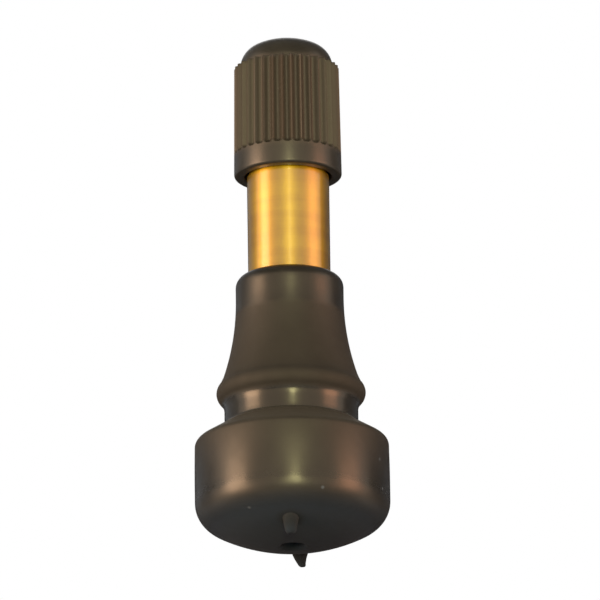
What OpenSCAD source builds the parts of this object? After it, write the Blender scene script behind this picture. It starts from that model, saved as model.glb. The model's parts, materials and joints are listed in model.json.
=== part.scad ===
// Snap-in tyre valve with a threaded brass stem, a sprung core and a ribbed dust cap.
// Millimetres. +Z runs up the stem. The origin is on the axis, halfway up the groove that grips the rim.

/* [Rim groove] */
// Diameter of the rubber in the groove
groove_d = 13.3; // [11.5:0.1:16]
// Height of the groove between the shoulder and the bead
groove_w = 2.3; // [1.8:0.1:3]

/* [Rubber body] */
// Diameter of the base
base_d = 19.4; // [16:0.1:24]
// Height of the base below the groove
base_h = 12.55; // [10.4:0.05:15.1]
// Rounding of the base's lower edge
base_edge_r = 2.9; // [2:0.1:3.5]
// Radius of the crown on the underside
base_crown_r = 17.1; // [14.2:0.1:21]
// Slope of the shoulder under the groove, in degrees
shoulder_slope = 30.6; // [25:0.1:37]
// Rounding of the shoulder's rim
shoulder_edge_r = 0.5; // [0.3:0.1:0.8]
// Outer diameter of the snap bead
bead_d = 14.84; // [13.9:0.02:16]
// Thickness of the round snap bead
bead_t = 2.26; // [1.9:0.02:2.7]
// Diameter of the neck where it leaves the bead
flare_d = 13.9; // [12.5:0.1:14.2]
// Diameter of the neck at the top
neck_d = 10.74; // [10:0.02:12]
// Height of the straight top of the neck, lip included
neck_h = 2.35; // [1.8:0.05:3]
// Height of the rubber above the groove's lower edge
rubber_h = 15.5; // [12.9:0.1:18.6]
// Rounding of the rubber lip round the stem
lip_r = 1.2; // [0.6:0.1:1.2]
// Least flat left between the rounded lip and the stem
lip_land = 0.05; // [0.02:0.01:0.1]
// Diameter of the air hole in the underside
air_hole_d = 2.4; // [2:0.1:3]
// Chamfer on the air hole
air_hole_chamfer = 0.25; // [0.2:0.05:0.4]

/* [Moulding nibs] */
// Distance of the nibs inside the rounded lower edge
nib_inset = 0.55; // [0.3:0.05:1]
// Diameter of a nib at its root
nib_root_d = 1.6; // [1:0.1:2]
// Diameter of the blunt front nib at its tip
front_nib_tip_d = 1; // [0.6:0.1:1.2]
// Diameter of the rear nib at its tip
rear_nib_tip_d = 0.6; // [0.3:0.1:0.9]
// Direction of the front nib, in degrees from +X
front_nib_angle = -92; // [-120:1:-60]
// Direction of the rear nib, in degrees from +X
rear_nib_angle = 84; // [60:1:120]
// Length of the front nib
front_nib_l = 1.6; // [1:0.05:2.2]
// Length of the rear nib
rear_nib_l = 1.4; // [1:0.05:2.2]

/* [Brass stem] */
// Height of the mouth above the groove's lower edge
stem_h = 36.8; // [33:0.1:44.2]
// Diameter of the smooth barrel
barrel_d = 8.2; // [7.8:0.02:9.9]
// Diameter over the cap thread
cap_thread_d = 7.7; // [6.4:0.02:8]
// Length of the cap thread, from the mouth to its undercut
cap_thread_l = 9.4; // [7.8:0.1:11.3]
// Width of the undercut below the cap thread
undercut_w = 0.6; // [0.4:0.1:0.8]
// Depth of the undercut below the thread's crest
undercut_depth = 0.45; // [0.3:0.05:0.5]
// Step by which the barrel is turned down where the rubber and the cap cover it
barrel_step = 0.2; // [0.2:0.01:0.24]
// Length of barrel that the rubber grips
barrel_grip_l = 2.8; // [2:0.1:3.5]
// Diameter of the shank inside the rubber
shank_d = 6.4; // [5.6:0.1:7.6]
// Number of grip rings turned in the shank
grip_ring_count = 4; // [2:1:4]
// Depth of a grip ring
grip_ring_depth = 0.35; // [0.2:0.05:0.5]
// Width of a grip ring
grip_ring_w = 0.9; // [0.6:0.1:1.2]
// Distance from one grip ring to the next
grip_ring_pitch = 2; // [1.6:0.1:2.4]
// Diameter of the foot flange
foot_d = 9.4; // [8:0.1:11.2]
// Thickness of the foot flange
foot_t = 1.3; // [1:0.1:1.6]
// Length of the tail below the foot flange
tail_l = 1.2; // [0.6:0.1:1.6]
// Depth of the stem's lower end below the groove's lower edge
stem_depth = 6.9; // [5.8:0.1:8.2]
// Diameter of the air bore
bore_d = 3.7; // [3.1:0.02:4.44]
// Diameter of the core chamber above its seat
chamber_d = 4.6; // [4.5:0.02:5]
// Diameter of the bore that takes the core's thread
core_bore_d = 5.3; // [5:0.02:6.3]
// Chamfer on the edges of the mouth
mouth_chamfer = 0.35; // [0.2:0.05:0.4]

/* [Dust cap] */
// Height of the cap from its rim to the top of its dome
cap_h = 14.3; // [12:0.1:17.2]
// Height of the plain band round the rim
band_h = 2.2; // [1.8:0.1:2.7]
// Wall between the cap's bore and the floor of a flute
cap_wall = 0.79; // [0.6:0.01:0.95]
// Wall of the skirt round the barrel
skirt_wall = 1.07; // [0.85:0.01:1.3]
// Number of flutes
flute_count = 34; // [28:1:40]
// Depth of a flute
flute_depth = 0.5; // [0.4:0.01:0.6]
// Radius of a flute's round floor
flute_r = 0.4; // [0.32:0.01:0.4]
// Direction of the first flute, in degrees from +X
first_flute_angle = -90; // [-180:1:180]
// Ledge between the floor of a flute and the dome
ledge_w = 0.11; // [0.05:0.01:0.2]
// Radius of the crown on top of the dome
dome_crown_r = 7.7; // [6.4:0.1:9.2]
// Rounding of the dome's edge
dome_edge_r = 2.33; // [2:0.01:2.7]
// Thickness over the sealing washer, measured at the axis
cap_top_t = 2.44; // [2.2:0.02:2.9]
// Width of the relief above the pin, beyond the washer's hole
pin_relief_w = 0.4; // [0.2:0.05:0.6]
// Depth of the relief above the pin
pin_relief_h = 1; // [0.6:0.1:1.2]
// Rounding of the cap's rim
rim_r = 0.5; // [0.2:0.05:0.6]

/* [Cap washer] */
// Thickness of the sealing washer
washer_t = 0.9; // [0.75:0.05:1.1]
// Diameter of the hole in the washer
washer_hole_d = 4.4; // [3.6:0.1:5.2]

/* [Valve core] */
// Diameter of the pin
pin_d = 0.9; // [0.8:0.02:1.08]
// Stroke of the pin
pin_stroke = 1.2; // [1:0.1:1.4]
// Depth of the pin's tip below the mouth
pin_recess = 0.25; // [0.1:0.05:0.5]
// Diameter of the pin's head
pin_head_d = 1.6; // [1.4:0.05:1.9]
// Height of the pin's head
pin_head_h = 0.4; // [0.3:0.05:0.5]
// Height of the threaded plug, bridge included
plug_h = 5.7; // [5:0.1:6.8]
// Height of the flats that leave the bridge standing
flats_h = 3; // [2.5:0.1:3.2]
// Thickness of the bridge across the flats
bridge_w = 2.2; // [1.8:0.1:2.6]
// Thickness of the bridge over the air way
bridge_t = 1; // [0.8:0.05:1.2]
// Diameter of the air way in the plug
plug_bore_d = 3.1; // [2.6:0.1:3.3]
// Thickness of the flange that swivels in the plug
swivel_t = 0.8; // [0.6:0.05:1]
// Height of the lip that holds the flange in the plug
swivel_lip_h = 0.35; // [0.3:0.05:0.5]
// Width of the lip under the flange
swivel_lip_w = 0.25; // [0.2:0.05:0.35]
// Length of the neck between the plug and the packing's collar
core_neck_l = 0.7; // [0.5:0.1:1]
// Thickness of the collar above the packing
packing_collar_t = 0.6; // [0.5:0.05:0.8]
// Height of the packing ring
packing_h = 1.5; // [1.25:0.05:1.8]
// Thickness of the foot below the packing
packing_foot_t = 0.5; // [0.4:0.05:0.7]
// Wall of the barrel behind the packing
packing_wall = 0.3; // [0.25:0.05:0.35]
// Length of the barrel below the packing
core_tube_l = 6.9; // [5.8:0.1:8.3]
// Wall of the barrel's tube
core_tube_wall = 0.25; // [0.2:0.01:0.3]
// Height of the tapered lip that the plunger's seal closes on
core_lip_h = 0.4; // [0.3:0.05:0.6]
// Thickness of the barrel's floor, which carries the spring
core_floor_t = 0.9; // [0.7:0.1:1.2]
// Height of the pin's collar, which the spring lifts
pin_collar_h = 0.4; // [0.3:0.05:0.6]
// Wire of the spring
wire_d = 0.26; // [0.2:0.01:0.3]
// Turns of the spring, one dead turn at each end included
spring_turns = 11; // [8:1:13]
// Thickness of the plunger's rubber washer
plunger_seal_t = 0.9; // [0.75:0.05:1.1]
// Height of the seal above the cup's rim
seal_stand = 0.25; // [0.2:0.05:0.35]
// Height of the pin's riveted end
rivet_h = 0.3; // [0.2:0.05:0.4]
// Wall of the plunger's cup
cup_wall = 0.2; // [0.16:0.01:0.24]
// Thickness of the cup's floor
cup_floor_t = 0.4; // [0.3:0.05:0.5]

/* [Clearances] */
// Radial play of the cap on its thread
cap_thread_play = 0.08; // [0.04:0.01:0.1]
// Radial gap between the cap's skirt and the barrel
skirt_gap = 0.2; // [0.1:0.01:0.3]
// Height of the cap's skirt above the barrel's shoulder
skirt_lead = 0.65; // [0.4:0.05:0.9]
// Radial play of the washer in the cap
washer_play = 0.1; // [0.05:0.01:0.15]
// Radial play of the core's plug in the mouth
core_thread_play = 0.05; // [0.03:0.01:0.08]
// Play all round the flange that swivels in the plug
swivel_play = 0.05; // [0.03:0.01:0.08]
// Radial air gap round the collar above the packing
chamber_gap = 0.2; // [0.15:0.01:0.25]
// Radial air gap round the foot below the packing
packing_foot_gap = 0.15; // [0.1:0.01:0.2]
// Radial air gap round the plunger's cup
cup_gap = 0.35; // [0.3:0.01:0.42]
// Radial air gap round the pin
pin_gap = 0.15; // [0.1:0.01:0.2]
// Radial play of the pin's collar in the barrel
collar_play = 0.1; // [0.06:0.01:0.15]
// Gap between the pin's collar and the bridge
collar_gap = 0.6; // [0.4:0.05:0.8]
// Gap between the spring's top and the pin's collar
spring_gap = 0.05; // [0.02:0.01:0.1]

/* [Hidden] */
$fn = 96;
// Extra length that carries a cut clear of a face
past = 1;
// Straight steps along a rounded stretch of an outline, and along a flute's round end
arc_steps = 8;
flute_end_steps = 4;

// Colours
rubber_colour = [0.25, 0.22, 0.19];
brass_colour = [0.82, 0.61, 0.24];
cap_colour = [0.34, 0.29, 0.21];
seal_colour = [0.12, 0.12, 0.12];
packing_colour = [0.85, 0.82, 0.76];
steel_colour = [0.62, 0.62, 0.62];

// Rubber body
groove_r = groove_d / 2;
base_r = base_d / 2;
seat_z = -groove_w / 2;
base_z = seat_z - base_h;
rubber_top_z = seat_z + rubber_h;
shoulder_z = seat_z - (base_r - groove_r) * tan(shoulder_slope);
bead_r = bead_t / 2;
bead_centre_r = bead_d / 2 - bead_r;
bead_z = groove_w / 2 + sqrt(pow(bead_r, 2) - pow(groove_r - bead_centre_r, 2));
flare_r = flare_d / 2;
flare_z = bead_z + sqrt(pow(bead_r, 2) - pow(flare_r - bead_centre_r, 2));
neck_r = neck_d / 2;
neck_z = rubber_top_z - neck_h;
nib_ring_r = base_r - base_edge_r - nib_inset;

// Brass stem, outside
barrel_r = barrel_d / 2;
covered_r = barrel_r - barrel_step;
shank_r = shank_d / 2;
foot_r = foot_d / 2;
mouth_z = seat_z + stem_h;
cap_thread_r = cap_thread_d / 2;
undercut_r = cap_thread_r - undercut_depth;
undercut_z = mouth_z - cap_thread_l;
barrel_top_z = undercut_z - undercut_w;
shank_z = rubber_top_z - barrel_grip_l;
stem_end_z = seat_z - stem_depth;
foot_z = stem_end_z + tail_l;
first_ring_z = foot_z + foot_t + grip_ring_pitch;
lip_used_r = min(lip_r, neck_r - barrel_r - lip_land);

// Valve core, from the mouth down
core_bore_r = core_bore_d / 2;
chamber_r = chamber_d / 2;
bore_r = bore_d / 2;
mouth_used_chamfer = min(mouth_chamfer, (cap_thread_r - core_bore_r) / 3);
pin_r = pin_d / 2;
pin_top_z = mouth_z - pin_recess;
head_z = pin_top_z - pin_head_h;
bridge_z = head_z - pin_stroke - spring_gap;
plug_z = bridge_z - plug_h;
plug_r = core_bore_r - core_thread_play;
plug_bore_r = plug_bore_d / 2;
swivel_z = plug_z + swivel_lip_h + swivel_play;
swivel_top_z = swivel_z + swivel_t;
swivel_r = plug_bore_r + swivel_lip_w + swivel_play;
core_neck_r = plug_bore_r + swivel_play;
packing_collar_z = plug_z - core_neck_l - packing_collar_t;
packing_z = packing_collar_z - packing_h;
core_tube_r = bore_r - cup_gap;
core_tube_bore_r = core_tube_r - core_tube_wall;
packing_hole_r = core_tube_bore_r + packing_wall;
packing_foot_r = bore_r - packing_foot_gap;
core_end_z = packing_z - core_tube_l;
core_floor_z = core_end_z + core_floor_t;
core_lip_r = (core_tube_r + pin_r + pin_gap) / 2;
seat_taper_top_z = packing_collar_z;
seat_taper_end_z = packing_z;

// Plunger and spring
cup_r = bore_r - cup_gap;
seal_r = cup_r - cup_wall;
seal_z = core_end_z - plunger_seal_t;
cup_z = seal_z - cup_floor_t;
cup_rim_z = core_end_z - seal_stand;
rivet_r = (pin_r + cup_r) / 2;
collar_top_z = bridge_z - bridge_t - collar_gap;
collar_z = collar_top_z - pin_collar_h;
collar_r = core_tube_bore_r - collar_play;
coil_r = (core_tube_bore_r + pin_r) / 2;
wire_r = wire_d / 2;
coil_z = core_floor_z + wire_r;
coil_h = collar_z - spring_gap - wire_d - core_floor_z;
wire_sides = 6;
turn_steps = 12;

// Dust cap
cap_bore_r = cap_thread_r + cap_thread_play;
washer_z = mouth_z;
ceiling_z = washer_z + washer_t;
cap_top_z = ceiling_z + cap_top_t;
cap_z = cap_top_z - cap_h;
skirt_bore_r = barrel_r + skirt_gap;
skirt_top_z = max(cap_z + skirt_lead, barrel_top_z + skirt_lead);
cap_r = skirt_bore_r + skirt_wall;
flute_floor_r = cap_bore_r + cap_wall;
crest_r = flute_floor_r + flute_depth;
dome_r = flute_floor_r - ledge_w;
ledge_z = cap_top_z - crown_depth(dome_r, dome_crown_r, dome_edge_r);
crest_lean = atan((cap_r - crest_r) / (ledge_z - cap_z));
pin_relief_r = washer_hole_d / 2 + pin_relief_w;

// Points of an arc about a centre, from one angle to another
function arc(centre, r, from, to, steps = arc_steps) = [
    for (i = [0 : steps])
        let (a = from + (to - from) * i / steps)
        [centre[0] + r * cos(a), centre[1] + r * sin(a)]
];

// Depth of a crown with a rounded edge, from its pole to the start of the wall
function crown_depth(r, crown, edge) = crown - sqrt(pow(crown - edge, 2) - pow(r - edge, 2));

// Outline of that crown from the pole to the wall, as radius and depth
function crown_outline(r, crown, edge) =
    let (turn = asin((r - edge) / (crown - edge)))
    concat(
        arc([0, crown], crown, -90, turn - 90),
        arc([r - edge, crown_depth(r, crown, edge)], edge, turn - 90, 0)
    );

// Radius of the tapered seat in the stem, at a height
function seat_r(z) =
    bore_r + (chamber_r - bore_r) * (z - seat_taper_end_z) / (seat_taper_top_z - seat_taper_end_z);

// Radius of the cap over its ribs, at a height
function rib_r(z) = cap_r - (z - cap_z) * tan(crest_lean);

// Height of the spring's wire after some turns, with a dead turn at each end
function wire_z(turn) =
    let (live = coil_h - 2 * wire_d, last = spring_turns - 1)
    coil_z + (turn < 1 ? turn * wire_d
        : turn > last ? coil_h - (spring_turns - turn) * wire_d
        : wire_d + live * (turn - 1) / (last - 1));

module ring(outer_r, inner_r, z, h) {
    translate([0, 0, z])
        difference() {
            cylinder(r = outer_r, h = h);
            translate([0, 0, -past])
                cylinder(r = inner_r, h = h + 2 * past);
        }
}

module drill(r, from, to) {
    translate([0, 0, from])
        cylinder(r = r, h = to - from);
}

// One conical nib left by the mould, standing out of the crowned underside
module nib(angle, length, tip_d) {
    root_z = base_z + base_crown_r - sqrt(pow(base_crown_r, 2) - pow(nib_ring_r, 2));
    slope = (nib_root_d - tip_d) / 2 / length;
    rotate([0, 0, angle])
        translate([nib_ring_r, 0, root_z - length])
            cylinder(r1 = tip_d / 2, r2 = nib_root_d / 2 + slope * past, h = length + past, $fn = 32);
}

// Outside of the rubber from the crowned underside to the lip
module rubber_outline() {
    slope_turn = 90 - shoulder_slope;
    shoulder_centre = [base_r - shoulder_edge_r, shoulder_z - shoulder_edge_r * tan(slope_turn / 2)];
    flare_h = neck_z - flare_z;
    flare_w = flare_r - neck_r;
    flare_arc_r = (pow(flare_h, 2) + pow(flare_w, 2)) / (2 * flare_w);
    underside = [
        for (p = crown_outline(base_r, base_crown_r, base_edge_r)) [p[0], base_z + p[1]]
    ];
    polygon(concat(
        underside,
        arc(shoulder_centre, shoulder_edge_r, 0, slope_turn),
        [[groove_r, seat_z], [groove_r, bead_z], [flare_r, bead_z]],
        arc([neck_r + flare_arc_r, neck_z], flare_arc_r, 180 + asin(flare_h / flare_arc_r), 180),
        arc([neck_r - lip_used_r, rubber_top_z - lip_used_r], lip_used_r, 0, 90),
        [[0, rubber_top_z]]
    ));
    translate([bead_centre_r, bead_z])
        circle(r = bead_r);
}

// Turned outside of the brass stem, which the rubber is moulded round
module stem_outside() {
    rotate_extrude()
        polygon([
            [0, stem_end_z],
            [shank_r, stem_end_z],
            [shank_r, foot_z],
            [foot_r, foot_z],
            [foot_r, foot_z + foot_t],
            [shank_r, foot_z + foot_t],
            for (i = [0 : grip_ring_count - 1])
                let (z = first_ring_z + i * grip_ring_pitch)
                for (p = [
                    [shank_r, z],
                    [shank_r - grip_ring_depth, z],
                    [shank_r - grip_ring_depth, z + grip_ring_w],
                    [shank_r, z + grip_ring_w]
                ]) p,
            [shank_r, shank_z - covered_r + shank_r],
            [covered_r, shank_z],
            [covered_r, rubber_top_z],
            [barrel_r, rubber_top_z],
            [barrel_r, cap_z],
            [covered_r, cap_z],
            [covered_r, barrel_top_z],
            [undercut_r, barrel_top_z],
            [undercut_r, undercut_z],
            [cap_thread_r, undercut_z + undercut_depth],
            [cap_thread_r, mouth_z - mouth_used_chamfer],
            [cap_thread_r - mouth_used_chamfer, mouth_z],
            [0, mouth_z]
        ]);
}

// Stepped bore of the stem, with the tapered seat for the core's packing
module stem_bore() {
    rotate_extrude()
        polygon([
            [0, stem_end_z - past],
            [bore_r, stem_end_z - past],
            [bore_r, seat_taper_end_z],
            [chamber_r, seat_taper_top_z],
            [chamber_r, plug_z - core_neck_l / 2],
            [core_bore_r, plug_z - core_neck_l / 2 + core_bore_r - chamber_r],
            [core_bore_r, mouth_z - mouth_used_chamfer],
            [core_bore_r + mouth_used_chamfer, mouth_z],
            [core_bore_r + mouth_used_chamfer, mouth_z + past],
            [0, mouth_z + past]
        ]);
}

module rubber_body() {
    air_hole_r = air_hole_d / 2;
    air_hole_z = base_z + air_hole_chamfer;
    color(rubber_colour)
        difference() {
            union() {
                rotate_extrude()
                    rubber_outline();
                nib(front_nib_angle, front_nib_l, front_nib_tip_d);
                nib(rear_nib_angle, rear_nib_l, rear_nib_tip_d);
            }
            stem_outside();
            drill(air_hole_r, base_z - past, stem_end_z + past);
            translate([0, 0, air_hole_z - past])
                cylinder(r1 = air_hole_r + past, r2 = air_hole_r, h = past);
        }
}

module brass_stem() {
    color(brass_colour)
        difference() {
            stem_outside();
            stem_bore();
        }
}

// One round-ended cut for a flute, standing on its lower end
module flute_cut() {
    rotate_extrude($fn = 32)
        polygon(concat(
            arc([0, flute_r], flute_r, -90, 0, flute_end_steps),
            [[flute_r, cap_h], [0, cap_h]]
        ));
}

module cap_outside() {
    dome = [for (p = crown_outline(dome_r, dome_crown_r, dome_edge_r)) [p[0], cap_top_z - p[1]]];
    rotate_extrude()
        polygon(concat(
            [[0, cap_z]],
            arc([cap_r - rim_r, cap_z + rim_r], rim_r, -90, -crest_lean),
            [[crest_r, ledge_z]],
            [for (i = [len(dome) - 1 : -1 : 0]) dome[i]]
        ));
}

module dust_cap() {
    flute_z = cap_z + band_h;
    color(cap_colour)
        difference() {
            cap_outside();
            for (i = [0 : flute_count - 1])
                rotate([0, 0, first_flute_angle + i * 360 / flute_count])
                    translate([rib_r(flute_z) - flute_depth + flute_r, 0, flute_z])
                        rotate([0, -crest_lean, 0])
                            flute_cut();
            drill(skirt_bore_r, cap_z - past, skirt_top_z);
            drill(cap_bore_r, cap_z, ceiling_z);
            drill(pin_relief_r, cap_z, ceiling_z + pin_relief_h);
        }
}

module cap_washer() {
    color(seal_colour)
        ring(cap_bore_r - washer_play, washer_hole_d / 2, washer_z, washer_t);
}

// Threaded plug of the core, with flats that open the air way and leave a bridge for a key
module core_plug() {
    flats_z = bridge_z - flats_h;
    color(brass_colour)
        difference() {
            drill(plug_r, plug_z, bridge_z);
            for (side = [-1, 1])
                translate([side * (bridge_w / 2 + plug_r), 0, flats_z + plug_h / 2])
                    cube([2 * plug_r, 3 * plug_r, plug_h], center = true);
            drill(core_neck_r + swivel_play, plug_z - past, swivel_z);
            drill(swivel_r + swivel_play, swivel_z - swivel_play, swivel_top_z + swivel_play);
            drill(plug_bore_r, swivel_z, bridge_z - bridge_t);
            drill(pin_r + pin_gap, plug_z, bridge_z + past);
        }
}

// Barrel of the core: swivelling flange, packing groove and the tube that holds the spring
module core_barrel() {
    collar_outer_r = chamber_r - chamber_gap;
    color(brass_colour)
        rotate_extrude()
            polygon([
                [pin_r + pin_gap, core_end_z],
                [core_lip_r, core_end_z],
                [core_tube_r, core_end_z + core_lip_h],
                [core_tube_r, packing_z - packing_foot_t],
                [packing_foot_r, packing_z - packing_foot_t],
                [packing_foot_r, packing_z],
                [packing_hole_r, packing_z],
                [packing_hole_r, packing_collar_z],
                [collar_outer_r, packing_collar_z],
                [collar_outer_r, packing_collar_z + packing_collar_t],
                [core_neck_r, packing_collar_z + packing_collar_t],
                [core_neck_r, swivel_z],
                [swivel_r, swivel_z],
                [swivel_r, swivel_top_z],
                [core_tube_bore_r, swivel_top_z],
                [core_tube_bore_r, core_floor_z],
                [pin_r + pin_gap, core_floor_z]
            ]);
}

module barrel_packing() {
    color(packing_colour)
        rotate_extrude()
            polygon([
                [packing_hole_r, packing_z],
                [seat_r(packing_z), packing_z],
                [seat_r(packing_collar_z), packing_collar_z],
                [packing_hole_r, packing_collar_z]
            ]);
}

// Pin with its head, the collar that the spring lifts and the riveted end under the cup
module core_pin() {
    color(steel_colour)
        rotate_extrude()
            polygon([
                [0, cup_z - rivet_h],
                [rivet_r - rivet_h / 2, cup_z - rivet_h],
                [rivet_r, cup_z],
                [pin_r, cup_z],
                [pin_r, collar_z],
                [collar_r, collar_z],
                [collar_r, collar_top_z],
                [pin_r, collar_top_z],
                [pin_r, head_z],
                [pin_head_d / 2, head_z],
                [pin_head_d / 2, pin_top_z - pin_head_h / 2],
                [pin_r, pin_top_z],
                [0, pin_top_z]
            ]);
}

// Coil spring swept round the pin
module core_spring() {
    steps = spring_turns * turn_steps;
    points = [
        for (i = [0 : steps], j = [0 : wire_sides - 1])
            let (
                a = i * 360 / turn_steps,
                b = j * 360 / wire_sides,
                r = coil_r + wire_r * cos(b)
            )
            [r * cos(a), r * sin(a), wire_z(i / turn_steps) + wire_r * sin(b)]
    ];
    sides = [
        for (i = [0 : steps - 1], j = [0 : wire_sides - 1])
            let (k = (j + 1) % wire_sides, n = i * wire_sides, m = n + wire_sides)
            for (triangle = [[n + j, n + k, m + k], [n + j, m + k, m + j]]) triangle
    ];
    first_end = [for (j = [wire_sides - 1 : -1 : 0]) j];
    last_end = [for (j = [0 : wire_sides - 1]) steps * wire_sides + j];
    color(steel_colour)
        polyhedron(points, concat(sides, [first_end, last_end]));
}

module plunger_cup() {
    color(brass_colour)
        rotate_extrude()
            polygon([
                [pin_r, cup_z],
                [cup_r - cup_wall, cup_z],
                [cup_r, cup_z + cup_wall],
                [cup_r, cup_rim_z],
                [seal_r, cup_rim_z],
                [seal_r, seal_z],
                [pin_r, seal_z]
            ]);
}

module plunger_seal() {
    color(seal_colour)
        ring(seal_r, pin_r, seal_z, plunger_seal_t);
}

rubber_body();
brass_stem();
dust_cap();
cap_washer();
core_plug();
core_barrel();
barrel_packing();
core_pin();
core_spring();
plunger_cup();
plunger_seal();
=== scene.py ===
"""Looks of a snap-in tyre valve: moulded rubber, turned brass with cut threads, a ribbed cap and its core."""
import json
import math

import bmesh
import bpy
from mathutils import Matrix, Vector, noise


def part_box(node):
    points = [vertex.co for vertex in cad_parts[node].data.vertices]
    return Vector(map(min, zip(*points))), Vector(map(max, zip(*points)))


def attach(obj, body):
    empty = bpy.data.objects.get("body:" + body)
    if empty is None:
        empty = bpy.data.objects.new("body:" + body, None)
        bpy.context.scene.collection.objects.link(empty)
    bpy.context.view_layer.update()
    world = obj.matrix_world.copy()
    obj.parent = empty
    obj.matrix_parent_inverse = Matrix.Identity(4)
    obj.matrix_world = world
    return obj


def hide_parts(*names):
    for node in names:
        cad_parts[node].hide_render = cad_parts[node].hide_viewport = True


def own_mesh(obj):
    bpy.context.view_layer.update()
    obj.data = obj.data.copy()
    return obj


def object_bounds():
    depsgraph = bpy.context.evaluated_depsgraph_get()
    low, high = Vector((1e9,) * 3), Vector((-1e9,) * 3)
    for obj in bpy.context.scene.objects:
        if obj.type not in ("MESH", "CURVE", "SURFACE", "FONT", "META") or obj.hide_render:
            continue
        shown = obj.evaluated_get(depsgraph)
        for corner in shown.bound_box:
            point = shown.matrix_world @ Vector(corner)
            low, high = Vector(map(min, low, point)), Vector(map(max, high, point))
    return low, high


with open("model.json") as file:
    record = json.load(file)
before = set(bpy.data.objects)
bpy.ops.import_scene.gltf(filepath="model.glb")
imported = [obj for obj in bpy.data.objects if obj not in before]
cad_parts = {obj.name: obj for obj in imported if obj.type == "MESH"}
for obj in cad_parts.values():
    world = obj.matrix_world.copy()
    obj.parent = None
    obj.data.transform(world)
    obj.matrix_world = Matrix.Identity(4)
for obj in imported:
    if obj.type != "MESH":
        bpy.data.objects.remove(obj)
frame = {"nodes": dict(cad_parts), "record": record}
cad_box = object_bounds()

MM = 0.001
TURN = 2 * math.pi
# Lengths closer than this count as equal
TOUCH = 0.001 * MM

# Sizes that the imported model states
mounts = {mount["name"]: mount["dims"] for mount in frame["record"]["mounts"]}
rubber_low, rubber_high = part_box("rubber_body")
stem_low, stem_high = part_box("brass_stem")
cap_low, cap_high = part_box("dust_cap")
washer_low, washer_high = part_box("cap_washer")
plug_low, plug_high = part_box("core_plug")
pin_low, pin_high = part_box("core_pin")
cup_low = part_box("plunger_cup")[0]
spring_low, spring_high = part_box("core_spring")
groove_r = mounts["rim_groove"]["r_mm"] * MM
groove_half_w = mounts["rim_groove"]["length_mm"] * MM / 2
barrel_r = mounts["stem_barrel"]["r_mm"] * MM

# Rubber body
base_r = rubber_high.x
base_edge_r = 2.9 * MM
base_crown_r = 17.1 * MM
base_pole_z = -13.7 * MM
base_edge_z = base_pole_z + base_edge_r
shoulder_z = -2.95 * MM
shoulder_round = 0.7 * MM
groove_round = 0.4 * MM
bead_root_round = 1.5 * MM
base_draft = 0.06 * MM
base_draft_z = -6 * MM
base_wall_low_z = -9.07 * MM
base_wall_round = 140 * MM
bead_round = 1.13 * MM
bead_r = 7.42 * MM
bead_z = 2.22 * MM
flare_r = 6.95 * MM
flare_z = 3.14 * MM
neck_r = 5.37 * MM
neck_z = 12 * MM
# Degrees left off the arcs of the bead and the neck, for the blend between them
bead_blend_turn = 8
neck_blend_turn = 1.5
lip_round = 1.2 * MM
air_hole_r = 1.2 * MM
air_hole_round = 0.3 * MM
nib_ring_r = 6.25 * MM
nib_root_r = 0.8 * MM
front_nib_tip_r = 0.5 * MM
rear_nib_tip_r = 0.3 * MM
rear_nib_l = 1.4 * MM
front_nib_angle = math.radians(-92)
rear_nib_angle = math.radians(84)
rear_nib_lean = 0.25 * MM
nib_tear_size = 0.35 * MM
nib_tear_side = 0.03 * MM
nib_tear_up = 0.08 * MM
# Height over which one finish of the rubber gives way to the next
finish_blend = 0.2 * MM
lip_finish_z = neck_z - 2 * MM
dust_r = 0.22 * MM
dust_points = [
    Vector((-4.3, -7.0, -11.6)) * MM,
    Vector((3.0, -9.0, -10.2)) * MM,
    Vector((8.9, -3.8, -8.9)) * MM,
    Vector((8.7, -4.3, -6.0)) * MM,
]

# Brass stem
covered_r = 3.9 * MM
shank_r = 3.2 * MM
shank_z = 11.55 * MM
foot_r = stem_high.x
foot_z = -6.85 * MM
foot_t = 1.3 * MM
grip_rings = 4
grip_ring_pitch = 2 * MM
grip_ring_w = 0.9 * MM
grip_ring_depth = 0.35 * MM
cap_thread_r = 3.85 * MM
cap_thread_z = 26.25 * MM
cap_thread_pitch = 25.4 / 32 * MM
cap_thread_depth = 0.485 * MM
undercut_r = 3.4 * MM
undercut_z = 25.65 * MM
mouth_bevel = 0.35 * MM
core_bore_r = 2.65 * MM
core_bore_z = 28.05 * MM
core_thread_pitch = 25.4 / 36 * MM
core_thread_depth = 0.33 * MM
chamber_r = 2.3 * MM
chamber_z = 26.75 * MM
bore_r = 1.85 * MM
bore_z = 25.25 * MM

# Dust cap
cap_rim_r = cap_high.x
cap_crest_r = 5.22 * MM
cap_ledge_z = 36.15 * MM
cap_ledge_band = 0.2 * MM
cap_crest_round = 0.12 * MM
cap_rim_round = 0.35 * MM
skirt_round = 0.15 * MM
skirt_bore_r = 4.3 * MM
skirt_top_z = 26.3 * MM
cap_bore_r = 3.93 * MM
cap_thread_hold = 0.46 * MM
cap_thread_end_gap = 0.2 * MM
pin_relief_r = 2.6 * MM
pin_relief_z = 37.55 * MM
dome_r = 4.61 * MM
dome_crown_r = 7.7 * MM
dome_edge_r = 2.33 * MM
flute_count = 34
flute_z = 26.89 * MM
flute_depth = 0.5 * MM
flute_half_w = 0.43 * MM
flute_power = 0.8
first_flute_angle = math.radians(-90)

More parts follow.
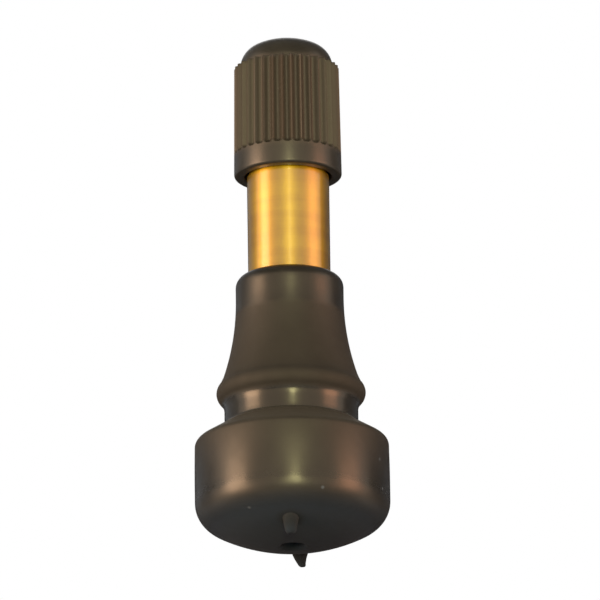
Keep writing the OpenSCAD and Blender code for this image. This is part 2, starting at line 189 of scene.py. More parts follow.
# Valve core
washer_hole_r = 2.2 * MM
washer_round = 0.12 * MM
plug_thread_depth = 0.36 * MM
plug_bevel = 0.25 * MM
plug_bore_r = 1.55 * MM
pin_hole_r = 0.6 * MM
bridge_t = 1 * MM
bridge_half_w = 1.1 * MM
flats_z = 30.75 * MM
swivel_r = 1.9 * MM
swivel_lip = 0.25 * MM
swivel_low_z = 28.4 * MM
swivel_top_z = 29.3 * MM
pin_r = 0.45 * MM
pin_head_r = 0.8 * MM
pin_head_h = 0.4 * MM
pin_collar_z = 31.75 * MM
pin_collar_h = 0.4 * MM
pin_edge_round = 0.06 * MM
pin_head_round = 0.3 * MM
rivet_r = 0.975 * MM
rivet_round = 0.2 * MM
coil_r = 0.85 * MM
wire_r = 0.13 * MM
coil_turns = 11

# Stage
stage_target = Vector((0, 0, 5 * MM))
lamp_distance = 0.9
flag_distance = 1.2


# Outlines

def arc(centre, radius, start, end, steps=8):
    """Points of an arc about a centre, from one angle to another in degrees."""
    angles = [math.radians(start + (end - start) * i / steps) for i in range(steps + 1)]
    return [(centre[0] + radius * math.cos(a), centre[1] + radius * math.sin(a)) for a in angles]


def rounded(corners, steps=5):
    """Outline through corners given as (radius, height) or (radius, height, rounding)."""
    points = [Vector(corner[:2]) for corner in corners]
    outline = []
    for i, corner in enumerate(corners):
        radius = corner[2] if len(corner) == 3 else 0
        if radius == 0 or i in (0, len(corners) - 1):
            outline.append(tuple(points[i]))
            continue
        back = (points[i - 1] - points[i]).normalized()
        ahead = (points[i + 1] - points[i]).normalized()
        half = math.acos(max(-1, min(1, back.dot(ahead)))) / 2
        middle = points[i] + (back + ahead).normalized() * (radius / math.sin(half))
        first = points[i] + back * (radius / math.tan(half)) - middle
        last = points[i] + ahead * (radius / math.tan(half)) - middle
        sweep = first.angle_signed(last)
        for step in range(steps + 1):
            turned = Matrix.Rotation(-sweep * step / steps, 2) @ first
            outline.append(tuple(middle + turned))
    return outline


def dense(outline, spacing):
    """The same outline with its long stretches divided."""
    points = [Vector(p) for p in outline]
    divided = [points[0]]
    for point in points[1:]:
        parts = max(1, math.ceil((point - divided[-1]).length / spacing))
        start = divided[-1]
        divided += [start.lerp(point, (i + 1) / parts) for i in range(parts)]
    return [tuple(p) for p in divided]


def crown(radius, crown_r, edge_r, steps=14):
    """Half a crown with a rounded edge, as (radius, depth below the pole), from the pole outwards."""
    turn = math.degrees(math.asin((radius - edge_r) / (crown_r - edge_r)))
    depth = crown_r - math.sqrt((crown_r - edge_r) ** 2 - (radius - edge_r) ** 2)
    top = arc((0, crown_r), crown_r, -90, turn - 90, steps)
    edge = arc((radius - edge_r, depth), edge_r, turn - 90, 0, steps)
    return top + edge[1:]


def wave(height, angle, pitch):
    """Right-hand thread at a height and angle: 1 on the crest and 0 in the root."""
    return 0.5 + 0.5 * math.cos(TURN * height / pitch - angle)


def ease(value, low, high):
    """0 below low, 1 above high and smooth between."""
    share = max(0, min(1, (value - low) / (high - low)))
    return share * share * (3 - 2 * share)


# Meshes

def new_piece(name, mesh, body, slot, *nodes):
    """Object for a finished mesh, which rides on a body and stands for its nodes."""
    piece = bpy.data.objects.new(name, mesh)
    bpy.context.scene.collection.objects.link(piece)
    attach(piece, body)
    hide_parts(*nodes)
    return piece


def revolve(name, outline, segments, bend=None):
    """Mesh turned round Z from an outline. One that starts and ends on the axis is closed there, and any
    other is a loop. bend moves a point: it takes and returns radius and height, and also takes the angle."""
    work = bmesh.new()
    poled = outline[0][0] < TOUCH
    rows = []
    for number, (radius, height) in enumerate(outline):
        if poled and number in (0, len(outline) - 1):
            rows.append([work.verts.new((0, 0, height))])
            continue
        row = []
        for i in range(segments):
            angle = TURN * i / segments
            r, z = bend(radius, height, angle) if bend else (radius, height)
            row.append(work.verts.new((r * math.cos(angle), r * math.sin(angle), z)))
        rows.append(row)
    pairs = list(zip(rows, rows[1:]))
    if not poled:
        pairs.append((rows[-1], rows[0]))
    for lower, upper in pairs:
        for i in range(segments):
            k = (i + 1) % segments
            if len(lower) == 1:
                work.faces.new((lower[0], upper[k], upper[i]))
            elif len(upper) == 1:
                work.faces.new((lower[i], lower[k], upper[0]))
            else:
                work.faces.new((lower[i], lower[k], upper[k], upper[i]))
    return finish_mesh(name, work)


def finish_mesh(name, work, sharp=40):
    """Mesh with its normals outwards, smooth except at corners sharper than an angle in degrees."""
    bmesh.ops.recalc_face_normals(work, faces=work.faces)
    mesh = bpy.data.meshes.new(name)
    work.to_mesh(mesh)
    work.free()
    mesh.shade_smooth()
    mesh.set_sharp_from_angle(angle=math.radians(sharp))
    return mesh


def combine(mesh, other, operation, sharp=40):
    """Mesh joined with or cut by another."""
    scene = bpy.context.scene
    first = bpy.data.objects.new("first", mesh)
    second = bpy.data.objects.new("second", other)
    scene.collection.objects.link(first)
    scene.collection.objects.link(second)
    modifier = first.modifiers.new("combine", "BOOLEAN")
    modifier.object = second
    modifier.operation = operation
    modifier.solver = "EXACT"
    shown = first.evaluated_get(bpy.context.evaluated_depsgraph_get())
    made = bpy.data.meshes.new_from_object(shown)
    made.name = mesh.name
    bpy.data.objects.remove(first)
    bpy.data.objects.remove(second)
    made.shade_smooth()
    made.set_sharp_from_angle(angle=math.radians(sharp))
    return made


def block(name, low, high):
    """Mesh of a box between two corners, for cutting."""
    work = bmesh.new()
    bmesh.ops.create_cube(work, size=1)
    size = Vector(high) - Vector(low)
    middle = (Vector(high) + Vector(low)) / 2
    for vertex in work.verts:
        vertex.co = middle + Vector(a * b for a, b in zip(vertex.co, size))
    return finish_mesh(name, work)


# Rubber

def stem_outside():
    """Outside of the brass from its lower end up to the rubber's lip, which the rubber is moulded round."""
    first_ring = foot_z + foot_t + grip_ring_pitch
    corners = [
        (shank_r, stem_low.z),
        (shank_r, foot_z),
        (foot_r, foot_z),
        (foot_r, foot_z + foot_t),
        (shank_r, foot_z + foot_t),
    ]
    for i in range(grip_rings):
        z = first_ring + i * grip_ring_pitch
        corners += [
            (shank_r, z),
            (shank_r - grip_ring_depth, z),
            (shank_r - grip_ring_depth, z + grip_ring_w),
            (shank_r, z + grip_ring_w),
        ]
    return corners + [(shank_r, shank_z - covered_r + shank_r), (covered_r, shank_z)]


def crown_z(radius):
    """Height of the crowned underside at a radius."""
    return base_pole_z + base_crown_r - math.sqrt(base_crown_r ** 2 - radius ** 2)


def nib_centre(angle):
    """Middle of a nib's root on the underside."""
    return Vector((nib_ring_r * math.cos(angle), nib_ring_r * math.sin(angle), crown_z(nib_ring_r)))


def nib(angle, length, tip_r, lean, seed):
    """One conical nib that the mould left on the underside, with a slightly torn tip."""
    tip_round = 0.8 * tip_r
    outline = rounded([
        (0, nib_root_r),
        (nib_root_r, nib_root_r),
        (nib_root_r, 0),
        (tip_r, -length, tip_round),
        (0, -length),
    ])
    mesh = revolve("nib", dense(outline, spacing=0.1 * MM), segments=32)
    centre = nib_centre(angle)
    for vertex in mesh.vertices:
        down = max(0, -vertex.co.z / length)
        torn = noise.noise(vertex.co / nib_tear_size + Vector((seed, 0, 0)))
        vertex.co.x += lean * down * down + nib_tear_side * torn * down
        vertex.co.y += nib_tear_side * torn * down
        vertex.co.z += nib_tear_up * max(0, torn) * down ** 4
        vertex.co += centre
    return mesh


def rubber_underside():
    """Air hole and crowned underside, from the hole's upper end out to the base's wall."""
    crowned = [(r, base_pole_z + d) for r, d in crown(base_r, base_crown_r, base_edge_r, steps=20)]
    crowned = [point for point in crowned if point[0] > air_hole_r + 2 * air_hole_round]
    hole = rounded([
        (air_hole_r, stem_low.z),
        (air_hole_r, crown_z(air_hole_r), air_hole_round),
        crowned[0],
    ])
    return hole[:-1] + crowned


def rubber_outside(start):
    """Wall, shoulder, groove, bead, neck and lip, upwards from the end of the underside."""
    lip_z = rubber_high.z - lip_round
    rise = flare_r - neck_r
    flare_arc_r = ((neck_z - flare_z) ** 2 + rise ** 2) / (2 * rise)
    flare_turn = math.degrees(math.asin((neck_z - flare_z) / flare_arc_r))
    bead_centre = (bead_r - bead_round, bead_z)
    bead_end = math.degrees(math.acos((flare_r - bead_centre[0]) / bead_round))
    root_across = groove_r + bead_root_round - bead_centre[0]
    root_turn = math.degrees(math.acos(root_across / (bead_round + bead_root_round)))
    root_z = bead_z - (bead_round + bead_root_round) * math.sin(math.radians(root_turn))
    wall = rounded([
        start,
        (base_r, base_draft_z, base_wall_round),
        (base_r - base_draft, shoulder_z, shoulder_round),
        (groove_r, -groove_half_w, groove_round),
        (groove_r, root_z),
    ], steps=8)
    root = arc((groove_r + bead_root_round, root_z), bead_root_round, 180, 180 - root_turn, steps=8)
    bead = arc(bead_centre, bead_round, -root_turn, bead_end - bead_blend_turn, steps=18)
    neck_start = 180 + flare_turn - neck_blend_turn
    neck = arc((neck_r + flare_arc_r, neck_z), flare_arc_r, neck_start, 180, steps=24)
    lip = arc((neck_r - lip_round, lip_z), lip_round, 0, 90, steps=10)
    return wall[1:] + root[1:] + bead[1:] + neck + lip


def rubber_mesh():
    """Base, shoulder, groove, snap bead, flared neck and lip in one moulding, with its two nibs."""
    underside = rubber_underside()
    inside = [(covered_r, rubber_high.z)] + stem_outside()[::-1]
    outline = underside + rubber_outside(underside[-1]) + inside
    mesh = revolve("rubber", dense(outline, spacing=0.5 * MM), segments=256)
    front_nib_l = crown_z(nib_ring_r) - rubber_low.z
    front_nib = nib(front_nib_angle, front_nib_l, front_nib_tip_r, lean=0, seed=3)
    rear_nib = nib(rear_nib_angle, rear_nib_l, rear_nib_tip_r, lean=rear_nib_lean, seed=8)
    return combine(combine(mesh, front_nib, "UNION"), rear_nib, "UNION")


# Brass

def stem_bend(radius, height, angle):
    """Cuts the cap's thread round the mouth and the core's thread inside it."""
    wall_middle_r = (core_bore_r + cap_thread_r) / 2
    below_mouth = stem_high.z - height
    if radius > wall_middle_r and height > cap_thread_z:
        root = cap_thread_depth * (1 - wave(height, angle, cap_thread_pitch))
        root *= ease(height, cap_thread_z, cap_thread_z + cap_thread_pitch)
        return min(radius, cap_thread_r - root), height
    if radius < wall_middle_r and height > core_bore_z:
        crest = core_thread_depth * (1 - wave(height, angle, core_thread_pitch))
        crest *= ease(height, core_bore_z, core_bore_z + core_thread_pitch)
        return max(core_bore_r - crest, core_bore_r + mouth_bevel - below_mouth), height
    return radius, height


def stem_mesh():
    """The turned stem with its stepped bore."""
    mouth_z = stem_high.z
    plain = stem_outside() + [
        (covered_r, rubber_high.z),
        (barrel_r, rubber_high.z),
        (barrel_r, cap_low.z),
        (covered_r, cap_low.z),
        (covered_r, undercut_z),
        (undercut_r, undercut_z),
        (undercut_r, cap_thread_z),
    ]
    thread = dense([
        (cap_thread_r, cap_thread_z + cap_thread_r - undercut_r),
        (cap_thread_r, mouth_z - mouth_bevel),
        (cap_thread_r - mouth_bevel, mouth_z),
    ], cap_thread_pitch / 11)
    bore = dense([
        (core_bore_r + mouth_bevel, mouth_z),
        (core_bore_r, mouth_z - mouth_bevel),
        (core_bore_r, core_bore_z),
    ], core_thread_pitch / 10)
    lower = [
        (chamber_r, core_bore_z - core_bore_r + chamber_r),
        (chamber_r, chamber_z),
        (bore_r, bore_z),
        (bore_r, stem_low.z),
    ]
    return revolve("stem", plain + thread + bore + lower, segments=160, bend=stem_bend)


# Cap

def flute_cut(height, angle):
    """Depth of the flutes, as a share, at a height above their lower ends and an angle on the cap."""
    pitch = TURN / flute_count
    off = ((angle - first_flute_angle) / pitch + 0.5) % 1 - 0.5
    across = off * pitch * cap_crest_r / flute_half_w
    below_round = max(0, (flute_z + flute_half_w - height) / flute_half_w)
    return max(0, 1 - across ** 2 - below_round ** 2) ** flute_power


def rib_r(height):
    """Radius over the cap's ribs, which lean in a little towards the top."""
    share = (height - cap_low.z) / (cap_ledge_z - cap_low.z)
    return cap_rim_r + (cap_crest_r - cap_rim_r) * share


def cap_bend(radius, height, angle):
    """Presses the flutes into the outside and cuts the thread inside."""
    middle_r = (cap_bore_r + dome_r) / 2
    if radius > dome_r + TOUCH and flute_z <= height <= cap_ledge_z + TOUCH:
        floor = flute_depth * flute_cut(height, angle)
        if height > cap_ledge_z - cap_ledge_band:
            share = (radius - dome_r) / (cap_crest_r - dome_r)
            return dome_r + share * (cap_crest_r - floor - dome_r), height
        return radius - floor, height
    thread_end = washer_low.z - cap_thread_end_gap
    if pin_relief_r + TOUCH < radius < middle_r and skirt_top_z < height < thread_end:
        crest = cap_thread_hold * (1 - wave(height, angle, cap_thread_pitch))
        crest *= ease(height, skirt_top_z, skirt_top_z + cap_thread_pitch)
        crest *= 1 - ease(height, thread_end - cap_thread_pitch / 2, thread_end)
        return cap_bore_r - crest, height
    return radius, height


def cap_mesh():
    """Ribbed cap with a plain band, a domed top, a skirt round the barrel and a threaded bore."""
    dome = [(r, cap_high.z - d) for r, d in crown(dome_r, dome_crown_r, dome_edge_r, steps=12)]
    wall_top_z = cap_ledge_z - 1 * MM
    wall_top = rounded([
        (dome_r, cap_ledge_z),
        (cap_crest_r, cap_ledge_z, cap_crest_round),
        (rib_r(wall_top_z), wall_top_z),
    ], steps=4)
    flute_end = flute_z + 3 * flute_half_w
    wall = dense([wall_top[-1], (rib_r(flute_end), flute_end)], spacing=0.9 * MM)
    ends = dense([(rib_r(flute_end), flute_end), (rib_r(flute_z), flute_z)], spacing=0.06 * MM)
    rim = rounded([
        ends[-1],
        (cap_rim_r, cap_low.z, cap_rim_round),
        (skirt_bore_r, cap_low.z, skirt_round),
        (skirt_bore_r, skirt_top_z),
    ], steps=6)
    bore = dense([(cap_bore_r, skirt_top_z), (cap_bore_r, washer_high.z)], cap_thread_pitch / 8)
    ceiling = [(pin_relief_r, washer_high.z), (pin_relief_r, pin_relief_z), (0, pin_relief_z)]
    outline = dome + wall_top[1:] + wall[1:] + ends[1:] + rim[1:] + bore + ceiling
    return revolve("cap", outline, segments=flute_count * 12, bend=cap_bend)


# Core

def washer_mesh():
    """Flat sealing washer with rounded edges."""
    outer = washer_high.x
    low, high = washer_low.z, washer_high.z
    middle = (low + high) / 2
    outline = rounded([
        (washer_hole_r, middle),
        (washer_hole_r, low, washer_round),
        (outer, low, washer_round),
        (outer, high, washer_round),
        (washer_hole_r, high, washer_round),
        (washer_hole_r, middle),
    ])
    return revolve("washer", outline[:-1], segments=96)


def plug_bend(radius, height, angle):
    """Cuts the thread round the core's plug."""
    if radius < plug_high.y - TOUCH:
        return radius, height
    root = plug_thread_depth * (1 - wave(height, angle, core_thread_pitch))
    return radius - root, height


def plug_mesh():
    """Threaded plug with two flats, which leave a bridge for the key and open the air way."""
    plug_r = plug_high.y
    low, high = plug_low.z, plug_high.z
    thread = dense([(plug_r, low + plug_bevel), (plug_r, high - plug_bevel)], core_thread_pitch / 10)
    outline = [(swivel_r - swivel_lip, low), (plug_r - plug_bevel, low)] + thread + [
        (plug_r - plug_bevel, high),
        (pin_hole_r, high),
        (pin_hole_r, high - bridge_t),
        (plug_bore_r, high - bridge_t),
        (plug_bore_r, swivel_top_z),
        (swivel_r, swivel_top_z),
        (swivel_r, swivel_low_z),
        (swivel_r - swivel_lip, swivel_low_z),
    ]
    mesh = revolve("plug", outline, segments=120, bend=plug_bend)
    reach = 2 * plug_r
    for side in (-1, 1):
        xs = sorted((side * bridge_half_w, side * reach))
        flat = block("flat", (xs[0], -reach, flats_z), (xs[1], reach, high + reach))
        mesh = combine(mesh, flat, "DIFFERENCE", sharp=30)
    return mesh


def pin_mesh():
    """Pin with a domed head, a collar for the spring and a riveted end."""
    collar_r = pin_high.x
    low, high = pin_low.z, pin_high.z
    head_z = high - pin_head_h
    outline = rounded([
        (0, low),
        (rivet_r, low, rivet_round),
        (rivet_r, cup_low.z),
        (pin_r, cup_low.z),
        (pin_r, pin_collar_z),
        (collar_r, pin_collar_z, pin_edge_round),
        (collar_r, pin_collar_z + pin_collar_h, pin_edge_round),
        (pin_r, pin_collar_z + pin_collar_h),
        (pin_r, head_z),
        (pin_head_r, head_z, pin_edge_round),
        (pin_head_r, high, pin_head_round),
        (0, high),
    ])
    return revolve("pin", outline, segments=64)


def coil_z(turn):
    """Height of the spring wire's middle after a number of turns, with one dead turn at each end."""
    low = spring_low.z + wire_r
    high = spring_high.z - wire_r
    dead = 2 * wire_r
    if turn < 1:
        return low + turn * dead
    if turn > coil_turns - 1:
        return high - (coil_turns - turn) * dead
    return low + dead + (high - low - 2 * dead) * (turn - 1) / (coil_turns - 2)


def spring_mesh():
    """Coil of round wire with flat ends."""
    turn_steps = 32
    sides = 10
    work = bmesh.new()
    rings = []
    for i in range(coil_turns * turn_steps + 1):
        turn = i / turn_steps
        angle = TURN * turn
        ring = []
        for j in range(sides):
            around = TURN * j / sides
            r = coil_r + wire_r * math.cos(around)
            z = coil_z(turn) + wire_r * math.sin(around)
            ring.append(work.verts.new((r * math.cos(angle), r * math.sin(angle), z)))
        rings.append(ring)
    for first, second in zip(rings, rings[1:]):
        for j in range(sides):
            k = (j + 1) % sides
            work.faces.new((first[j], first[k], second[k], second[j]))
    work.faces.new(rings[0])
    work.faces.new(rings[-1])
    return finish_mesh("spring", work)


# Materials

def new_material(name, **values):
    """Material with values set on the shader's own sockets, and its node tree."""
    made = bpy.data.materials.new(name)
    made.use_nodes = True
    shader = made.node_tree.nodes["Principled BSDF"]
    for key, value in values.items():
        shader.inputs[key.replace("_", " ")].default_value = value
    return made, made.node_tree, shader


def grain(tree, scale, detail=4, stretch=(1, 1, 1)):
    """Noise in the object's own space, scale features a metre, stretched by axis."""
    place = tree.nodes.new("ShaderNodeTexCoord")
    mapping = tree.nodes.new("ShaderNodeMapping")
    mapping.inputs["Scale"].default_value = stretch
    texture = tree.nodes.new("ShaderNodeTexNoise")
    texture.inputs["Scale"].default_value = scale
    texture.inputs["Detail"].default_value = detail
    tree.links.new(place.outputs["Object"], mapping.inputs["Vector"])
    tree.links.new(mapping.outputs["Vector"], texture.inputs["Vector"])
    return texture.outputs["Fac"]


def ramp(tree, source, *stops):
    """Colours blended along a value, from stops of (place, colour)."""
    blend = tree.nodes.new("ShaderNodeValToRGB")
    while len(blend.color_ramp.elements) < len(stops):
        blend.color_ramp.elements.new(1)
    for element, (place, colour) in zip(blend.color_ramp.elements, stops):
        element.position = place
        element.color = (*colour, 1)
    tree.links.new(source, blend.inputs["Fac"])
    return blend.outputs["Color"]


def span(tree, source, low, high, start=0, end=1):
    """A value that runs from start to end, spread from low to high."""
    spread = tree.nodes.new("ShaderNodeMapRange")
    spread.inputs["From Min"].default_value = start
    spread.inputs["From Max"].default_value = end
    spread.inputs["To Min"].default_value = low
    spread.inputs["To Max"].default_value = high
    tree.links.new(source, spread.inputs["Value"])
    return spread.outputs["Result"]


def calculate(tree, operation, first, second):
    """Two values put together by an operation."""
    node = tree.nodes.new("ShaderNodeMath")
    node.operation = operation
    tree.links.new(first, node.inputs[0])
    tree.links.new(second, node.inputs[1])
    return node.outputs[0]


def bump(tree, shader, *layers):
    """Surface relief from layers of (height, depth in metres)."""
    normal = None
    for height, depth in layers:
        relief = tree.nodes.new("ShaderNodeBump")
        relief.inputs["Strength"].default_value = 1
        relief.inputs["Distance"].default_value = depth
        tree.links.new(height, relief.inputs["Height"])
        if normal:
            tree.links.new(normal, relief.inputs["Normal"])
        normal = relief.outputs["Normal"]
    tree.links.new(normal, shader.inputs["Normal"])


def flecks(tree, points, radius):
    """1 on small flecks at a few points and 0 elsewhere, with soft edges."""
    core_r = 0.4 * radius
    place = tree.nodes.new("ShaderNodeTexCoord")
    found = None
    for point in points:
        gap = tree.nodes.new("ShaderNodeVectorMath")
        gap.operation = "DISTANCE"
        gap.inputs[1].default_value = point
        tree.links.new(place.outputs["Object"], gap.inputs[0])
        fleck = span(tree, gap.outputs["Value"], 1, 0, start=core_r, end=radius)
        found = calculate(tree, "MAXIMUM", found, fleck) if found else fleck
    return found


def cover(tree, below, above, share):
    """One colour laid over another by a share."""
    mix = tree.nodes.new("ShaderNodeMix")
    mix.data_type = "RGBA"
    mix.inputs["B"].default_value = (*above, 1)
    tree.links.new(share, mix.inputs["Factor"])
    tree.links.new(below, mix.inputs["A"])
    return mix.outputs["Result"]


def by_height(tree, *stops):
    """Value blended along the piece's height, from stops of (height, value) from the bottom up."""
    low, high = stops[0][0], stops[-1][0]
    place = tree.nodes.new("ShaderNodeTexCoord")
    parts = tree.nodes.new("ShaderNodeSeparateXYZ")
    tree.links.new(place.outputs["Object"], parts.inputs["Vector"])
    share = span(tree, parts.outputs["Z"], 0, 1, start=low, end=high)
    greys = [((height - low) / (high - low), (value,) * 3) for height, value in stops]
    return ramp(tree, share, *greys)


def rubber_colour(tree):
    """Mottled black-brown with a few pale flecks, with painted shade as a cool grey underneath and a dark
    grey on the nibs, and painted light as a paler band on the shoulder.
    """
    dark = (0.0105, 0.0085, 0.006)
    pale = (0.0165, 0.0134, 0.0094)
    # Painted shade: a cool grey for the underside and lower edge, which only dim, cool light reaches
    underside_painted_shade = (0.011, 0.02, 0.03)
    # Painted light: a paler band on the shoulder, which lifts the shade and dark reflections there
    shoulder_painted_light = (0.045, 0.037, 0.026)
    # Painted shade: a dark blue-grey over the nibs, which tones down the lamp light they catch
    nib_painted_shade = (0.004, 0.008, 0.011)
    fleck_grey = (0.07, 0.075, 0.08)
    colour = ramp(tree, grain(tree, 350, detail=5), (0.3, dark), (0.7, pale))
    # Painted shade mask: 1 on the underside and the lower edge, 0 above
    below = by_height(
        tree,
        (rubber_low.z, 1),
        (base_edge_z - 5 * finish_blend, 1),
        (base_edge_z + 2.5 * finish_blend, 0),
        (rubber_high.z, 0),
    )
    colour = cover(tree, colour, underside_painted_shade, below)
    # Painted light on the shoulder's slope, from the top of the base's wall up to the groove
    shoulder_light_share = by_height(
        tree,
        (rubber_low.z, 0),
        (shoulder_z - finish_blend, 0),
        (shoulder_z + finish_blend, 1),
        (-groove_half_w, 1),
        (-groove_half_w + finish_blend, 0),
        (rubber_high.z, 0),
    )
    colour = cover(tree, colour, shoulder_painted_light, shoulder_light_share)
    # Painted shade over the nibs, to tone down the lamp light on them
    nibs = [nib_centre(front_nib_angle), nib_centre(rear_nib_angle)]
    colour = cover(tree, colour, nib_painted_shade, flecks(tree, nibs, 2 * nib_root_r))
    return cover(tree, colour, fleck_grey, flecks(tree, dust_points, dust_r))


def rubber_gloss(tree):
    """Roughness by height: dull below and on the bead and neck, glossier in the groove and on the lip."""
    unevenness = 0.05
    gloss = by_height(
        tree,
        (rubber_low.z, 1),
        (crown_z(nib_ring_r), 0.92),
        (base_edge_z, 0.46),
        (base_wall_low_z, 0.26),
        (base_draft_z, 0.4),
        (shoulder_z, 0.58),
        (-groove_half_w - finish_blend, 0.6),
        (-groove_half_w, 0.24),
        (groove_half_w - finish_blend, 0.24),
        (groove_half_w + finish_blend, 0.75),
        (lip_finish_z, 0.58),
        (lip_finish_z + 3 * finish_blend, 0.33),
        (rubber_high.z, 0.33),
    )
    drift = span(tree, grain(tree, 900, detail=3), -unevenness, unevenness)
    return calculate(tree, "ADD", gloss, drift)


def rubber_material():
    """Satin moulded rubber with a slightly uneven skin."""
    made, tree, shader = new_material(
        "moulded rubber",
        Specular_IOR_Level=0.7,
        Specular_Tint=(1, 0.785, 0.56, 1),
    )
    tree.links.new(rubber_colour(tree), shader.inputs["Base Color"])
    tree.links.new(rubber_gloss(tree), shader.inputs["Roughness"])
    bump(tree, shader, (grain(tree, 400, detail=2), 0.01 * MM), (grain(tree, 6000, detail=3), 0.002 * MM))
    return made


def brass_material(name, base, dark, roughness):
    """Turned brass with fine circular tool lines, and tarnish in patches and rings."""
    made, tree, shader = new_material(
        name,
        Metallic=1,
        Anisotropic=0.66,
        Anisotropic_Rotation=0.25,
        Coat_Weight=1,
        Coat_IOR=1.7,
        Coat_Roughness=0.16,
    )
    patches = grain(tree, 420, detail=5, stretch=(1, 1, 0.6))
    rings = grain(tree, 60, detail=3, stretch=(1, 1, 12))
    tarnish = calculate(tree, "MULTIPLY", patches, rings)
    tree.links.new(ramp(tree, tarnish, (0.15, dark), (0.32, base)), shader.inputs["Base Color"])
    lines = grain(tree, 300, detail=2, stretch=(1, 1, 40))
    tree.links.new(span(tree, lines, roughness - 0.05, roughness + 0.08), shader.inputs["Roughness"])
    bump(tree, shader, (lines, 0.002 * MM), (grain(tree, 900, detail=2), 0.01 * MM))
    tangent = tree.nodes.new("ShaderNodeTangent")
    tangent.direction_type = "RADIAL"
    tangent.axis = "Z"
    tree.links.new(tangent.outputs["Tangent"], shader.inputs["Tangent"])
    return made


def plastic_material():
    """Satin black-brown moulded plastic, duller on the ribs, with painted light as a paler brown over them.
    """
    dark = (0.019, 0.0158, 0.011)
    pale = (0.028, 0.0233, 0.0163)
    # Painted light: a paler brown over the ribbed part, standing in for the lamps' glints on the flutes
    rib_painted_light = (0.05, 0.036, 0.023)
    rib_dullness = 0.12
    made, tree, shader = new_material(
        "moulded plastic",
        Specular_IOR_Level=0.62,
        Specular_Tint=(1, 0.78, 0.57, 1),
    )
    rubbed = grain(tree, 500, detail=5, stretch=(1, 1, 0.3))
    colour = ramp(tree, rubbed, (0.3, dark), (0.7, pale))
    ribs = by_height(
        tree,
        (cap_low.z, 0),
        (flute_z - flute_half_w, 0),
        (flute_z + flute_half_w, 1),
        (cap_ledge_z - flute_half_w, 1),
        (cap_ledge_z + flute_half_w, 0),
        (cap_high.z, 0),
    )
    # Painted light laid over the ribbed part
    tree.links.new(cover(tree, colour, rib_painted_light, ribs), shader.inputs["Base Color"])
    gloss = span(tree, grain(tree, 1500, detail=3), 0.28, 0.38)
    gloss = calculate(tree, "ADD", span(tree, ribs, 0, rib_dullness), gloss)
    tree.links.new(gloss, shader.inputs["Roughness"])
    bump(tree, shader, (grain(tree, 5000, detail=3), 0.006 * MM))
    return made


def plain_material(name, low, high, roughness, metallic=0):
    """A finish for small parts: two close colours, uneven gloss and a fine skin."""
    made, tree, shader = new_material(name, Metallic=metallic)
    unevenness = 0.06
    colour = ramp(tree, grain(tree, 1500, detail=4), (0.3, low), (0.7, high))
    tree.links.new(colour, shader.inputs["Base Color"])
    gloss = grain(tree, 3000, detail=3)
    drift = span(tree, gloss, roughness - unevenness, roughness + unevenness)
    tree.links.new(drift, shader.inputs["Roughness"])
    bump(tree, shader, (gloss, 0.005 * MM))
    return made


# Stage

def look_from(azimuth, elevation, distance, target):
    """Matrix that looks at a target from a distance. Azimuth 0 is the camera's side and 90 its right."""
    a = math.radians(azimuth)
    e = math.radians(elevation)
    back = Vector((math.sin(a) * math.cos(e), -math.cos(a) * math.cos(e), math.sin(e)))
    turn = (-back).to_track_quat("-Z", "Y")
    return Matrix.Translation(target + back * distance) @ turn.to_matrix().to_4x4()


def add_camera():
    """Long lens from a little below, with the photo's slight roll."""
    photo_width = 59.7 * MM
    lens = 1200
    sensor = 36
    elevation = -17.1
    roll = math.radians(0.83)
    target = Vector((1.02 * MM, 0, 11.94 * MM))
    data = bpy.data.cameras.new("camera")
    data.lens = lens
    data.sensor_width = sensor
    data.clip_start = 0.01
    camera = bpy.data.objects.new("camera", data)
    bpy.context.scene.collection.objects.link(camera)
    distance = photo_width * lens / sensor
    camera.matrix_world = look_from(0, elevation, distance, target) @ Matrix.Rotation(-roll, 4, "Z")
    bpy.context.scene.camera = camera


def add_lamp(name, azimuth, elevation, size, colour, radiance):
    """Soft rectangular lamp that faces the valve."""
    data = bpy.data.lights.new(name, "AREA")
    data.shape = "RECTANGLE"
    data.size, data.size_y = size
    data.color = colour
    data.energy = radiance * math.pi * size[0] * size[1]
    lamp = bpy.data.objects.new(name, data)
    bpy.context.scene.collection.objects.link(lamp)
    lamp.matrix_world = look_from(azimuth, elevation, lamp_distance, stage_target)
    lamp.visible_camera = False


def stage_card(name, half_w, finish):
    """Flat square with a finish, for the stage."""
    work = bmesh.new()
    bmesh.ops.create_grid(work, x_segments=1, y_segments=1, size=half_w)
    mesh = bpy.data.meshes.new(name)
    work.to_mesh(mesh)
    work.free()
    mesh.materials.append(finish)
    made = bpy.data.objects.new(name, mesh)
    bpy.context.scene.collection.objects.link(made)
    return made


def add_flag(name, azimuth, elevation, size, tone):
    """Plain cool grey card that shows only in reflections, to give the valve a darker or lighter edge."""
    finish, tree, shader = new_material(name, Roughness=0.9)
    cool = (0.85 * tone, tone, 1.2 * tone)
    darker = [0.9 * part for part in cool]
    tree.links.new(ramp(tree, grain(tree, 30), (0, darker), (1, cool)), shader.inputs["Base Color"])
    flag = stage_card(name, half_w=0.5, finish=finish)
    stretch = Matrix.Diagonal((*size, 1, 1))
    flag.matrix_world = look_from(azimuth, elevation, flag_distance, stage_target) @ stretch
    flag.visible_camera = False
    flag.visible_diffuse = False
    flag.visible_transmission = False
    flag.visible_shadow = False


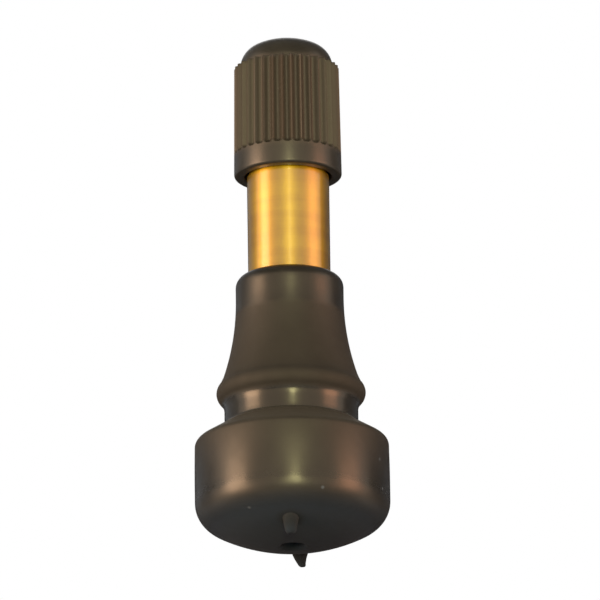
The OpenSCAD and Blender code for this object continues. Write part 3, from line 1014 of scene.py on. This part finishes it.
def add_floor():
    """Pale floor under the lowest nib, seen only from above, which isn't reflected and blocks no lamp."""
    finish, tree, shader = new_material("pale floor", Roughness=0.9)
    colour = ramp(tree, grain(tree, 40, detail=3), (0.3, (0.78, 0.78, 0.77)), (0.7, (0.82, 0.82, 0.81)))
    tree.links.new(colour, shader.inputs["Base Color"])
    side = tree.nodes.new("ShaderNodeNewGeometry")
    clear = tree.nodes.new("ShaderNodeBsdfTransparent")
    mix = tree.nodes.new("ShaderNodeMixShader")
    output = tree.nodes["Material Output"]
    tree.links.new(side.outputs["Backfacing"], mix.inputs["Fac"])
    tree.links.new(shader.outputs["BSDF"], mix.inputs[1])
    tree.links.new(clear.outputs["BSDF"], mix.inputs[2])
    tree.links.new(mix.outputs["Shader"], output.inputs["Surface"])
    floor = stage_card("floor", half_w=1, finish=finish)
    floor.location.z = cad_box[0].z
    floor.visible_glossy = False
    floor.visible_shadow = False


def add_world():
    """White to the camera, to reflections and through glass, and a softer light on everything else."""
    soft_strength = 0.75
    world = bpy.data.worlds.new("studio")
    world.use_nodes = True
    bpy.context.scene.world = world
    tree = world.node_tree
    background = tree.nodes["Background"]
    background.inputs["Color"].default_value = (1, 1, 1, 1)
    path = tree.nodes.new("ShaderNodeLightPath")
    seen = path.outputs["Is Camera Ray"]
    for ray in ("Is Glossy Ray", "Is Transmission Ray"):
        seen = calculate(tree, "MAXIMUM", seen, path.outputs[ray])
    tree.links.new(span(tree, seen, soft_strength, 1), background.inputs["Strength"])


# Pieces

rubber = new_piece("moulded_body", rubber_mesh(), "valve", "body_rubber", "rubber_body")
stem = new_piece("turned_stem", stem_mesh(), "valve", "stem_brass", "brass_stem")
cap = new_piece("ribbed_cap", cap_mesh(), "cap", "cap_plastic", "dust_cap")
washer = new_piece("sealing_washer", washer_mesh(), "cap_washer", "seal_rubber", "cap_washer")
plug = new_piece("threaded_plug", plug_mesh(), "valve", "core_brass", "core_plug")
pin = new_piece("headed_pin", pin_mesh(), "plunger", "core_steel", "core_pin")
spring = new_piece("coil_spring", spring_mesh(), "valve", "core_steel", "core_spring")

stem_brass = brass_material("turned brass", base=(0.67, 0.36, 0.01), dark=(0.58, 0.29, 0.007), roughness=0.54)
core_brass = brass_material("core brass", base=(0.74, 0.5, 0.17), dark=(0.62, 0.4, 0.12), roughness=0.3)
seal_rubber = plain_material("sealing rubber", (0.008, 0.008, 0.008), (0.016, 0.016, 0.016), roughness=0.6)
core_steel = plain_material("drawn steel", (0.5, 0.5, 0.5), (0.6, 0.6, 0.6), roughness=0.3, metallic=1)
packing = plain_material("packing polymer", (0.66, 0.62, 0.54), (0.72, 0.68, 0.6), roughness=0.5)
finishes = {
    rubber: rubber_material(),
    stem: stem_brass,
    cap: plastic_material(),
    washer: seal_rubber,
    plug: core_brass,
    pin: core_steel,
    spring: core_steel,
    frame["nodes"]["core_barrel"]: core_brass,
    frame["nodes"]["barrel_packing"]: packing,
    frame["nodes"]["plunger_cup"]: core_brass,
    frame["nodes"]["plunger_seal"]: seal_rubber,
}
for piece, finish in finishes.items():
    piece.data.materials.clear()
    piece.data.materials.append(finish)

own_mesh(spring)

add_camera()
add_lamp("left_lamp", azimuth=-70, elevation=-1, size=(0.42, 0.6), colour=(1, 0.78, 0.62), radiance=8)
add_lamp("right_lamp", azimuth=71, elevation=-1, size=(0.42, 0.57), colour=(1, 0.56, 0.4), radiance=4.2)
add_lamp("front_lamp", azimuth=3, elevation=-1.5, size=(0.05, 0.5), colour=(0.87, 1, 0.64), radiance=40)
add_flag("left_flag", azimuth=-130, elevation=15, size=(1.2, 1.8), tone=0.32)
add_flag("right_flag", azimuth=130, elevation=15, size=(1.26, 1.8), tone=0.13)
add_flag("rear_flag", azimuth=180, elevation=-15, size=(2.7, 2.1), tone=0.03)
add_flag("front_flag", azimuth=0, elevation=-40, size=(2.6, 0.95), tone=0.72)
add_flag("low_flag", azimuth=0, elevation=-80, size=(3.6, 3.6), tone=0.09)
add_flag("top_flag", azimuth=0, elevation=82, size=(3, 3), tone=0.2)
add_floor()
add_world()

bpy.context.scene.view_settings.view_transform = "Standard"
